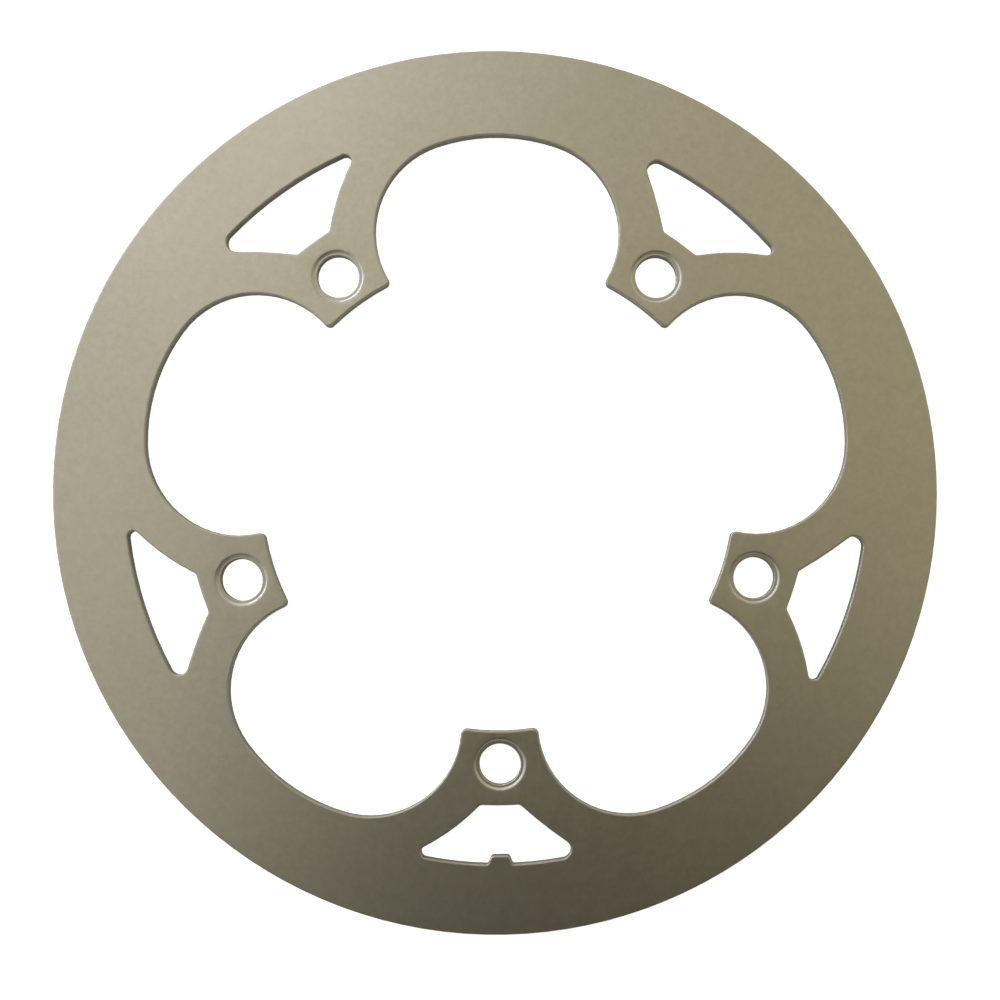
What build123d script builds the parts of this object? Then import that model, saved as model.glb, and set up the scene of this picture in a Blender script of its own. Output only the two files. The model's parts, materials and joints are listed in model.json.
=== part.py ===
"""Bicycle chain guard: one flat aluminium plate that bolts to a crank spider.

The plate lies on its back, with the show face up. The origin is the centre of
the bolt circle on the back face, and the arm with the index tab points to -Y.
"""
from build123d import *
import math
import os

# Sheet and its edges
plate_thickness = 3.0
edge_break_width = 0.2  # all round the front
edge_break_depth = 0.15
back_break = 0.25

# Bolt holes
bolt_count = 5
bolt_circle_diameter = 130.0
bolt_hole_diameter = 10.0
seat_width = 0.8  # flat ring round the hole, sunk below the face
seat_depth = 0.4
seat_bevel_angle = 90.0  # between opposite sides of the bevel from the seat up to the face
lip_width = 0.3  # eased edge round the bevel
lip_angle = 140.0
first_arm_angle = -90.0

# Arms: the metal left round each bolt hole
arm_end_wall = 3.0
arm_side_wall = 5.7
arm_corner_radius = 1.35
window_wall = 5.0

# Lobes of the middle opening, one between each pair of arms
lobe_band = 20.0  # from the crown of a lobe out to the rim
crown_rise = 1.2  # how far the crown bulges past the tops of the two shoulders
shoulder_spacing = 14.6  # between the centres of the two shoulders

# Windows, one beyond each bolt hole
window_height = 14.4
window_sill_width = 9.6
window_crest_width = 43.0
window_lean = 0.7  # how far the crest sits clockwise of the arm
clockwise_flank_radius = 52.0
counter_flank_radius = 100.0
clockwise_corner_radius = 1.45
counter_corner_radius = 2.35
sill_corner_radius = 1.2
rim_width = 17.1  # from the crest of a window out to the rim

# Index tab on the crest of the first window
tab_height = 2.2
tab_tip_width = 4.3
tab_flare = 0.9  # how much wider the tab is on each side at its root
tab_foot_radius = 0.6
tab_corner_radius = 0.9

# Radii about the middle of the plate
bolt_circle_radius = bolt_circle_diameter / 2
bolt_hole_radius = bolt_hole_diameter / 2
seat_radius = bolt_hole_radius + seat_width
lip_depth = lip_width / math.tan(math.radians(lip_angle / 2))
bevel_width = (seat_depth - lip_depth) * math.tan(math.radians(seat_bevel_angle / 2))
bevel_radius = seat_radius + bevel_width
lip_radius = bevel_radius + lip_width
arm_end_radius = bolt_circle_radius - bolt_hole_radius - arm_end_wall
sill_radius = bolt_circle_radius + bolt_hole_radius + window_wall
crest_radius = sill_radius + window_height
rim_radius = crest_radius + rim_width
lobe_reach = rim_radius - lobe_band
arm_pitch = 360 / bolt_count


def at_width(radius, half_width):
    """The point of a circle about the middle that is half_width to one side of +X."""
    return Vector(math.sqrt(radius**2 - half_width**2), half_width)


# One lobe along +X: a flat crown that runs smoothly into two rounder shoulders.
# Each shoulder keeps the side wall to the bolt hole in its arm, which sets its radius.
next_hole = Vector(bolt_circle_radius, 0).rotate(Axis.Z, arm_pitch / 2)
shoulder_top = Vector(lobe_reach - crown_rise, shoulder_spacing / 2)
hole_to_top = shoulder_top - next_hole
hole_and_wall = bolt_hole_radius + arm_side_wall
shoulder_radius = (hole_to_top.length**2 - hole_and_wall**2) / (2 * (hole_to_top.X + hole_and_wall))
shoulder_centre = shoulder_top - Vector(shoulder_radius, 0)
crown_radius = shoulder_radius + crown_rise / 2 + shoulder_top.Y**2 / (2 * crown_rise)
crown_centre = Vector(lobe_reach - crown_radius, 0)
crown_half_angle = math.degrees(
    math.atan2(shoulder_centre.Y, shoulder_centre.X - crown_centre.X)
)

with BuildSketch() as lobe:
    with BuildLine():
        CenterArc(crown_centre, crown_radius, -crown_half_angle, 2 * crown_half_angle)
        counter = CenterArc(
            shoulder_centre, shoulder_radius, crown_half_angle, 180 - crown_half_angle
        )
        clockwise = CenterArc(
            (shoulder_centre.X, -shoulder_centre.Y),
            shoulder_radius,
            -crown_half_angle,
            crown_half_angle - 180,
        )
        Line(counter @ 1, clockwise @ 1)
    make_face()

# The opening that clears the spider: a round between the arm ends, and the lobes.
with BuildSketch() as opening:
    Circle(arm_end_radius)
    with PolarLocations(0, bolt_count, first_arm_angle + arm_pitch / 2):
        add(lobe.sketch)
    arm_end_corners = opening.vertices().sort_by_distance((0, 0))[: 2 * bolt_count]
    fillet(arm_end_corners, arm_corner_radius)

# One window along +X: sill and crest follow the rim, the flanks bulge into it.
sill_counter = at_width(sill_radius, window_sill_width / 2)
sill_clockwise = at_width(sill_radius, -window_sill_width / 2)
crest_counter = at_width(crest_radius, window_crest_width / 2 - window_lean)
crest_clockwise = at_width(crest_radius, -window_crest_width / 2 - window_lean)

with BuildSketch() as window:
    with BuildLine():
        RadiusArc(sill_clockwise, sill_counter, -sill_radius)
        RadiusArc(sill_counter, crest_counter, -counter_flank_radius)
        RadiusArc(crest_counter, crest_clockwise, crest_radius)
        RadiusArc(crest_clockwise, sill_clockwise, -clockwise_flank_radius)
    make_face()
    for corner, radius in (
        (crest_counter, counter_corner_radius),
        (crest_clockwise, clockwise_corner_radius),
        (sill_counter, sill_corner_radius),
        (sill_clockwise, sill_corner_radius),
    ):
        fillet(window.vertices().sort_by_distance(corner)[0], radius)

# The first window has the index tab, which grows from its crest towards the bolt hole.
tab_tip = crest_radius - tab_height
tab_root_width = tab_tip_width + 2 * tab_flare
with BuildSketch() as tabbed_window:
    add(window.sketch)
    with BuildLine():
        Polyline(
            (rim_radius, -tab_root_width / 2),
            (crest_radius, -tab_root_width / 2),
            (tab_tip, -tab_tip_width / 2),
            (tab_tip, tab_tip_width / 2),
            (crest_radius, tab_root_width / 2),
            (rim_radius, tab_root_width / 2),
            close=True,
        )
    make_face(mode=Mode.SUBTRACT)
    fillet(tabbed_window.vertices().sort_by_distance((rim_radius, 0))[:2], tab_foot_radius)
    fillet(tabbed_window.vertices().sort_by_distance((tab_tip, 0))[:2], tab_corner_radius)

# The blank: the rim, less the opening and the windows.
with BuildSketch() as blank:
    Circle(rim_radius)
    add(opening.sketch, mode=Mode.SUBTRACT)
    add(tabbed_window.sketch, rotation=first_arm_angle, mode=Mode.SUBTRACT)
    with PolarLocations(0, bolt_count - 1, first_arm_angle + arm_pitch, 360 - arm_pitch):
        add(window.sketch, mode=Mode.SUBTRACT)

# What is turned out of the face for one bolt: down the lip and the bevel to the flat seat.
with BuildPart() as bolt_seat:
    with BuildSketch(Plane.XZ):
        with BuildLine():
            Polyline(
                (0, 0),
                (lip_radius, 0),
                (bevel_radius, -lip_depth),
                (seat_radius, -seat_depth),
                (0, -seat_depth),
                close=True,
            )
        make_face()
    revolve(axis=Axis.Z)

# The plate: the blank as thick as the sheet, with its edges broken and its bolt seats sunk.
with BuildPart() as guard_plate:
    add(blank.sketch)
    extrude(amount=plate_thickness)
    front = guard_plate.faces().sort_by(Axis.Z)[-1]
    chamfer(front.edges(), edge_break_width, edge_break_depth, reference=front)
    with Locations((0, 0, plate_thickness)):
        with PolarLocations(bolt_circle_radius, bolt_count, first_arm_angle):
            Hole(bolt_hole_radius)
            add(bolt_seat.part, mode=Mode.SUBTRACT)
    back = guard_plate.faces().sort_by(Axis.Z)[0]
    chamfer(back.edges(), back_break)

guard_plate.part.label = "guard_plate"
os.makedirs("parts", exist_ok=True)
export_step(guard_plate.part, "parts/guard_plate.step")
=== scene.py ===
# %% [markdown]
# # A punched aluminium chain guard
# The real part is one flat plate, punched from 3 mm aluminium sheet, blasted with fine beads and
# anodised. The CAD model already has every edge, window and bolt seat and the index tab, so this
# lesson adds no new shapes. It loads the plate as a fixed frame, makes its flat faces shade flat
# and its round walls shade smooth, gives each kind of surface its finish, and lights the plate
# for a camera that looks straight down on it.

# %% Load the plate
import json
import math

import bmesh
import bpy
from mathutils import Matrix, Vector


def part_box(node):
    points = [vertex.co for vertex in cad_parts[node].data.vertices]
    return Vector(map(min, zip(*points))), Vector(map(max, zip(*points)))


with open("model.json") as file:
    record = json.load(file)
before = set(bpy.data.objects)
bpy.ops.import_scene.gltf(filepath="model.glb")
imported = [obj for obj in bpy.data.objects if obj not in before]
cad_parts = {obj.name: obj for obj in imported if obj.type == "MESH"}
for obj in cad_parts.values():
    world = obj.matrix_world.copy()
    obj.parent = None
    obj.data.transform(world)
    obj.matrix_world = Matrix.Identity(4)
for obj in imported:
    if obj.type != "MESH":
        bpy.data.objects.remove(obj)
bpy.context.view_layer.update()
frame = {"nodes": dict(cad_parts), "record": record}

MM = 0.001
plate = frame["nodes"]["guard_plate"]
plate_low, plate_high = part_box("guard_plate")
plate_size = plate_high - plate_low
print("plate, mm:", [round(side / MM, 2) for side in plate_size])

# %% [markdown]
# ## Crisp edges, smooth curves
# The edges of the real plate are broken by a very narrow, flat chamfer, and its round walls are
# smooth. The mesh comes as loose triangles, which would shade like facets. So it is welded into
# one skin, split again wherever two faces meet at more than 30 degrees, and shaded smoothly in
# between. All of these are modifiers, so the mesh of the CAD model stays as it is. The eased lips
# of the bolt seats slope by less than that, so the face runs smoothly over them. Only there does
# its shading lean, by the few degrees that are printed.

# %% Weld the skin and split it at its edges
WELD_REACH = 0.001 * MM
CREASE = math.radians(30)
weld = plate.modifiers.new("weld_faces", "WELD")
weld.merge_threshold = WELD_REACH
crease = plate.modifiers.new("crisp_edges", "EDGE_SPLIT")
crease.split_angle = CREASE
crease.use_edge_sharp = False
even = plate.modifiers.new("flat_faces_stay_flat", "WEIGHTED_NORMAL")
even.mode = "FACE_AREA"
even.weight = 100
even.keep_sharp = False


def lean_of_flat_faces():
    """The largest angle, in degrees, by which a shading normal leans on the flat front."""
    shown = plate.evaluated_get(bpy.context.evaluated_depsgraph_get())
    mesh = shown.to_mesh()
    leans = [0.0]
    for face in mesh.polygons:
        if face.normal.z > 0.99999:
            leans += [mesh.corner_normals[i].vector.angle(face.normal) for i in face.loop_indices]
    shown.to_mesh_clear()
    return math.degrees(max(leans))


print("the flat front leans by at most", round(lean_of_flat_faces(), 2), "degrees")

# %% [markdown]
# ## Sums on shader sockets
# A finish is a set of sums on textures and masks. Node by node they are hard to read, so a small
# class wraps an output socket: a sum written on it in Python adds the Math nodes, and one method
# adds any other node.


# %% A socket that can be used in sums
class Signal:
    """An output socket of a shader node, on which sums can be written."""

    def __init__(self, socket):
        self.socket = socket
        self.tree = socket.id_data

    @staticmethod
    def node(tree, kind, settings, sockets, output=0):
        """Adds a node, with its settings first and then its sockets' values or links."""
        made = tree.nodes.new(kind)
        for name, setting in settings.items():
            setattr(made, name, setting)
        for name, value in sockets.items():
            if isinstance(value, Signal):
                tree.links.new(value.socket, made.inputs[name])
            else:
                made.inputs[name].default_value = value
        return Signal(made.outputs[output])

    def maths(self, operation, first, second):
        settings = {"operation": operation}
        return Signal.node(self.tree, "ShaderNodeMath", settings, {0: first, 1: second})

    def __add__(self, other):
        return self.maths("ADD", self, other)

    def __radd__(self, other):
        return self.maths("ADD", other, self)

    def __sub__(self, other):
        return self.maths("SUBTRACT", self, other)

    def __rsub__(self, other):
        return self.maths("SUBTRACT", other, self)

    def __mul__(self, other):
        return self.maths("MULTIPLY", self, other)

    def __rmul__(self, other):
        return self.maths("MULTIPLY", other, self)

    def step(self, start, end):
        """Goes smoothly from 0 at start to 1 at end."""
        settings = {"interpolation_type": "SMOOTHSTEP"}
        ends = {"Value": self, "From Min": start, "From Max": end}
        return Signal.node(self.tree, "ShaderNodeMapRange", settings, ends)


# %% [markdown]
# ## Which surface is which
# The plate is one solid, but it has four kinds of surface: the blasted face, the punched walls,
# the narrow broken edges between the two, and the turned bevels of the bolt seats. They could be
# picked face by face, but the slope of the surface tells them apart as well, and the bolts'
# places, which the record gives, tell a bevel from a broken edge. The steepness used here is 0 on
# the face, 0.36 on a broken edge at the front, 0.5 on one at the back and on a bevel, and 1 on a
# wall.


# %% Slope of the surface
def new_finish(name):
    """An empty material, its tree and its output node."""
    finish = bpy.data.materials.new(name)
    finish.use_nodes = True
    finish.node_tree.nodes.clear()
    return finish, finish.node_tree, finish.node_tree.nodes.new("ShaderNodeOutputMaterial")


SLOPE_BEGINS = (0.2, 0.34)
WALL_BEGINS = (0.7, 0.9)
satin, satin_tree, satin_output = new_finish("satin_anodised_aluminium")
spot = Signal.node(satin_tree, "ShaderNodeTexCoord", {}, {}, "Object")
facing = Signal.node(satin_tree, "ShaderNodeNewGeometry", {}, {}, "Normal")
upright = Signal.node(satin_tree, "ShaderNodeSeparateXYZ", {}, {"Vector": facing}, "Z")
steepness = 1 - upright * upright
is_sloped = steepness.step(*SLOPE_BEGINS)
is_wall = steepness.step(*WALL_BEGINS)
print("steepness: sloped from", SLOPE_BEGINS[1], "and wall from", WALL_BEGINS[1])

# %% Round the bolts
SEAT_REACH = 6.6 * MM
SEAT_FADE = 6.8 * MM
FIRST_ARM = math.radians(-90)
bolts = next(mount for mount in frame["record"]["mounts"] if mount["name"] == "spider_bolts")
bolt_circle_radius = bolts["dims"]["pcd_mm"] / 2 * MM
bolt_count = bolts["dims"]["count"]
on_plan = Signal.node(
    satin_tree, "ShaderNodeVectorMath", {"operation": "MULTIPLY"}, {0: spot, 1: (1, 1, 0)}
)
near_bolts = []
for bolt in range(bolt_count):
    angle = FIRST_ARM + bolt * math.tau / bolt_count
    centre = (bolt_circle_radius * math.cos(angle), bolt_circle_radius * math.sin(angle), 0)
    ends = {0: on_plan, 1: centre}
    away = Signal.node(
        satin_tree, "ShaderNodeVectorMath", {"operation": "DISTANCE"}, ends, "Value"
    )
    near_bolts.append(1 - away.step(SEAT_REACH, SEAT_FADE))

near_a_bolt = sum(near_bolts)
is_bevel = is_sloped * near_a_bolt * (1 - is_wall)
is_broken_edge = is_sloped * (1 - near_a_bolt) * (1 - is_wall)
print("bolt seats:", bolt_count, "on a radius of", round(bolt_circle_radius / MM, 1), "mm")

# %% [markdown]
# ## Satin anodised aluminium
# The sheet is blasted with fine beads before it is anodised a pale champagne grey. The blast
# leaves a dense dull grain, which spreads each reflection into a satin glow. The grain is
# made of two noises on object coordinates, one a little coarser than the other, that tilt the
# surface and change its colour and roughness a little. A third, wide noise is the slow
# unevenness of the dye. The grain could be painted instead, but noise needs no unwrapping and has
# no seams. The bevels of the bolt seats are turned, so they are paler. Blasting also rounds every
# edge a little. A Bevel node bends the shading near an edge as if it were rounded, so the face
# darkens or brightens softly there, as in the photograph.


# %% The grain and the dye
def noise(vector, size, detail):
    """A noise around 0 whose spots are about size across."""
    sockets = {"Vector": vector, "Scale": 1 / size, "Detail": detail, "Roughness": 0.6}
    return Signal.node(vector.tree, "ShaderNodeTexNoise", {}, sockets) - 0.5


FINE_SPOTS = 1.2 * MM
COARSE_SPOTS = 3.0 * MM
CLOUDS = 38 * MM
FINE_SHARE = 0.6
GRAIN_CONTRAST = 1.4
CLOUD_CONTRAST = 0.4
fine_grain = noise(spot, FINE_SPOTS, 2.0)
coarse_grain = noise(spot, COARSE_SPOTS, 3.0)
dye_cloud = noise(spot, CLOUDS, 2.0)
grain = fine_grain * FINE_SHARE + coarse_grain * (1 - FINE_SHARE)
paleness = grain * GRAIN_CONTRAST + dye_cloud * CLOUD_CONTRAST + 0.5
print("noises, mm:", [round(size / MM, 1) for size in (FINE_SPOTS, COARSE_SPOTS, CLOUDS)])


# %% The face and the bevels
def blend(amount, first, second):
    """A colour that goes from first to second as amount goes from 0 to 1."""
    # In a Mix node, inputs 6 and 7 and output 2 are the ones for colours.
    sockets = {"Factor": amount, 6: first, 7: second}
    return Signal.node(amount.tree, "ShaderNodeMix", {"data_type": "RGBA"}, sockets, 2)


SATIN_ROUGHNESS = 0.377
GRAIN_ROUGHNESS = 0.05
BEVEL_ROUGHNESS = 0.04
BLAST_DEPTH = 0.004 * MM
EDGE_ROUNDING = 0.55 * MM
anodised_champagne = (0.49, 0.455, 0.34, 1)
anodised_pale = (0.63, 0.585, 0.44, 1)
turned_silver = (0.86, 0.84, 0.77, 1)
dye = blend(paleness, anodised_champagne, anodised_pale)
colour = blend(is_bevel, dye, turned_silver)
roughness = SATIN_ROUGHNESS + grain * GRAIN_ROUGHNESS + is_bevel * BEVEL_ROUGHNESS
soft_edges = Signal.node(satin_tree, "ShaderNodeBevel", {"samples": 8}, {"Radius": EDGE_ROUNDING})
blast = {"Strength": 0.25, "Distance": BLAST_DEPTH, "Height": grain, "Normal": soft_edges}
tilt = Signal.node(satin_tree, "ShaderNodeBump", {}, blast)
satin_face = Signal.node(
    satin_tree,
    "ShaderNodeBsdfPrincipled",
    {},
    {"Base Color": colour, "Metallic": 1.0, "Roughness": roughness, "Normal": tilt},
)
print("face roughness:", SATIN_ROUGHNESS, "edge rounding, mm:", round(EDGE_ROUNDING / MM, 2))

# %% [markdown]
# ## Punched walls
# A punch shears the sheet, so the walls of the openings are torn rather than rolled: dull and
# streaked from front to back. Their colour is also kept darker than the face and than bare
# aluminium. That darkness is painted shade, which stands in for the shade the walls sit in. A
# metal shader would mirror the white table there, so the walls are matt. The streaks are a noise
# that is stretched along the thickness of the plate. The broken edges and the bevels are part way
# between wall and face, so they carry some of that painted shade too.

# %% The walls and the broken edges
STREAK_WIDTH = 0.35 * MM
STREAK_STRETCH = (1, 1, 0.12)
STREAK_CONTRAST = 1.5
EDGE_DULLNESS = 0.5
BEVEL_DULLNESS = 0.35
# painted shade: both wall colours are darker than bare aluminium to stand in for the shade on the
# walls; the streaks between them are the walls' own
wall_dark_painted_shade = (0.235, 0.222, 0.175, 1)
wall_light_painted_shade = (0.325, 0.316, 0.268, 1)
along_thickness = Signal.node(
    satin_tree, "ShaderNodeVectorMath", {"operation": "MULTIPLY"}, {0: spot, 1: STREAK_STRETCH}
)
streaks = noise(along_thickness, STREAK_WIDTH, 2.0)
wall_colour_painted_shade = blend(streaks * STREAK_CONTRAST + 0.5, wall_dark_painted_shade, wall_light_painted_shade)
punched_wall = Signal.node(
    satin_tree,
    "ShaderNodeBsdfPrincipled",
    {},
    {"Base Color": wall_colour_painted_shade, "Roughness": 0.7, "Specular IOR Level": 0.1},
)
# the matt wall and its painted shade cover the walls fully and the broken edges and bevels in part
dullness = is_wall + is_broken_edge * EDGE_DULLNESS + is_bevel * BEVEL_DULLNESS
surface = Signal.node(
    satin_tree, "ShaderNodeMixShader", {}, {0: dullness, 1: satin_face, 2: punched_wall}
)
satin_tree.links.new(surface.socket, satin_output.inputs["Surface"])
for slot in plate.material_slots:
    slot.material = satin
print("finish:", satin.name, "with", len(satin_tree.nodes), "nodes")

# %% [markdown]
# ## A white table
# The plate lies on white paper. The floor is a wide sheet just under the plate. Plain matt paper
# would come out grey under lamps that suit the plate. So for the camera and for reflections it
# also glows almost white, and its matt white only carries the soft shadow of the plate. From
# below it is clear, so that the back of the plate shows.

# %% The floor
FLOOR_GAP = 0.02 * MM
FLOOR_HALF_SIDE = 20.0
floor_mesh = bpy.data.meshes.new("white_table")
shape = bmesh.new()
bmesh.ops.create_grid(shape, x_segments=1, y_segments=1, size=FLOOR_HALF_SIDE)
bmesh.ops.translate(shape, verts=shape.verts, vec=(0, 0, plate_low.z - FLOOR_GAP))
shape.to_mesh(floor_mesh)
shape.free()
floor = bpy.data.objects.new("white_table", floor_mesh)
bpy.context.scene.collection.objects.link(floor)
print("floor:", [round(side, 1) for side in floor.dimensions], "m")

# %% The paper
PAPER_GLOW = 0.88
paper_white = (0.8, 0.8, 0.8, 1)
paper, paper_tree, paper_output = new_finish("white_paper")
seen_rays = [
    Signal.node(paper_tree, "ShaderNodeLightPath", {}, {}, kind)
    for kind in ("Is Camera Ray", "Is Glossy Ray", "Is Transmission Ray")
]
matt = Signal.node(paper_tree, "ShaderNodeBsdfDiffuse", {}, {"Color": paper_white})
glow = Signal.node(paper_tree, "ShaderNodeEmission", {}, {"Strength": sum(seen_rays) * PAPER_GLOW})
both = Signal.node(paper_tree, "ShaderNodeAddShader", {}, {0: matt, 1: glow})
clear = Signal.node(paper_tree, "ShaderNodeBsdfTransparent", {}, {})
from_below = Signal.node(paper_tree, "ShaderNodeNewGeometry", {}, {}, "Backfacing")
sheet = Signal.node(paper_tree, "ShaderNodeMixShader", {}, {0: from_below, 1: both, 2: clear})
paper_tree.links.new(sheet.socket, paper_output.inputs["Surface"])
floor_mesh.materials.append(paper)
print("paper:", paper.name, "with", len(paper_tree.nodes), "nodes")

# %% [markdown]
# ## Soft lamps
# A flat satin plate shows a blurred picture of whatever hangs over it. In the photograph it is
# pale at the upper left and fades to a dark brown at the bottom. Small lamps would leave bright
# spots in it, so there is a wide soft lamp to the upper left, a weaker and warmer one to the
# upper right, a little blue sky between the two, and nothing over the bottom. A low cool window
# at the upper left grazes the plate. It hardly shows in the face and draws the light lines on the
# bevels and walls that look towards it. It is wide and close to the table, so that it does not
# dazzle when the plate is seen from low down. A weak fill stands low in front, because from
# behind the face would mirror only a dark room.


# %% The lamps
def soft_lamp(name, where, width, height, radiance):
    """A soft box that faces the plate; radiance is the colour that the camera would see in it."""
    light = bpy.data.lights.new(name, "AREA")
    light.shape = "RECTANGLE"
    light.size = width
    light.size_y = height
    brightest = max(radiance)
    light.color = [part / brightest for part in radiance]
    light.energy = math.pi * width * height * brightest
    lamp = bpy.data.objects.new(name, light)
    bpy.context.scene.collection.objects.link(lamp)
    lamp.location = where
    lamp.rotation_euler = Vector(where).to_track_quat("Z", "Y").to_euler()
    lamp.visible_camera = False
    print("lamp:", name, round(light.energy, 2), "W")


soft_lamp("left_soft_box", (-0.417, 0.123, 0.349), 0.881, 0.881, (0.747, 0.747, 0.712))
soft_lamp("right_soft_box", (0.409, 0.593, 0.652), 2.0, 2.0, (0.551, 0.527, 0.405))
soft_lamp("blue_sky", (-0.328, 0.567, 0.459), 0.9, 0.9, (0.01, 0.04, 0.33))
soft_lamp("front_fill", (0.0, -1.5, 0.6), 4.5, 0.75, (0.32, 0.30, 0.26))
soft_lamp("low_window", (-0.63, 0.63, 0.075), 1.3, 0.09, (11.6, 12.5, 13.8))

# %% [markdown]
# ## The room
# The walls of the room are pale and its ceiling is dark. They could be modelled, but the satin
# face blurs whatever it mirrors, so a background that fades from the horizon up is enough. It
# gives the punched walls a little light from every side and leaves the face alone. A narrow white
# haze along the horizon lets the table run out into the room without a hard line.

# %% The background
HAZE_TOP = 0.1
WALL_TOP = 0.55
white_haze = (0.95, 0.95, 0.95, 1)
pale_walls = (0.35, 0.35, 0.35, 1)
dark_ceiling = (0.004, 0.001, 0.003, 1)
room = bpy.data.worlds.new("dim_room")
room.use_nodes = True
room_tree = room.node_tree
direction = Signal.node(room_tree, "ShaderNodeTexCoord", {}, {}, "Generated")
rise = Signal.node(room_tree, "ShaderNodeSeparateXYZ", {}, {"Vector": direction}, "Z")
low_room = blend(rise.step(0.0, HAZE_TOP), white_haze, pale_walls)
room_colour = blend(rise.step(0.0, WALL_TOP), low_room, dark_ceiling)
room_tree.links.new(room_colour.socket, room_tree.nodes["Background"].inputs["Color"])
bpy.context.scene.world = room
print("background:", room.name, "with", len(room_tree.nodes), "nodes")

# %% [markdown]
# ## The camera
# The photograph looks almost straight down. Its small lean and turn come from the outlines of
# the plate, which are a little closer together at one side than at the other. A camera over the
# middle would be simpler, but the walls of the openings show at the upper left, so the lens stood
# over a point to the lower right of the middle. A small shift of the lens brings the plate back
# to the middle of the picture.

# %% Look down on the plate
aim = Vector((19.55, -25.31, 3.0)) * MM
distance = 350 * MM
lean_right = math.radians(-1.543)
lean_up = math.radians(1.057)
turn = math.radians(-0.237)
back = Vector((math.tan(lean_right), math.tan(lean_up), 1)).normalized()
level = Vector((0, 1, 0)).cross(back).normalized()
upward = back.cross(level)
right = level * math.cos(turn) + upward * math.sin(turn)
up = upward * math.cos(turn) - level * math.sin(turn)

lens = bpy.data.cameras.new("camera")
lens.sensor_width = 36.0
lens.lens = 52.11
lens.shift_x = -0.08
lens.shift_y = 0.10
camera = bpy.data.objects.new("camera", lens)
bpy.context.scene.collection.objects.link(camera)
looking = Matrix((right, up, back)).transposed().to_4x4()
camera.matrix_world = Matrix.Translation(aim + back * distance) @ looking
bpy.context.scene.camera = camera
bpy.context.scene.view_settings.view_transform = "Standard"
print("camera, mm:", [round(part / MM, 1) for part in camera.location])
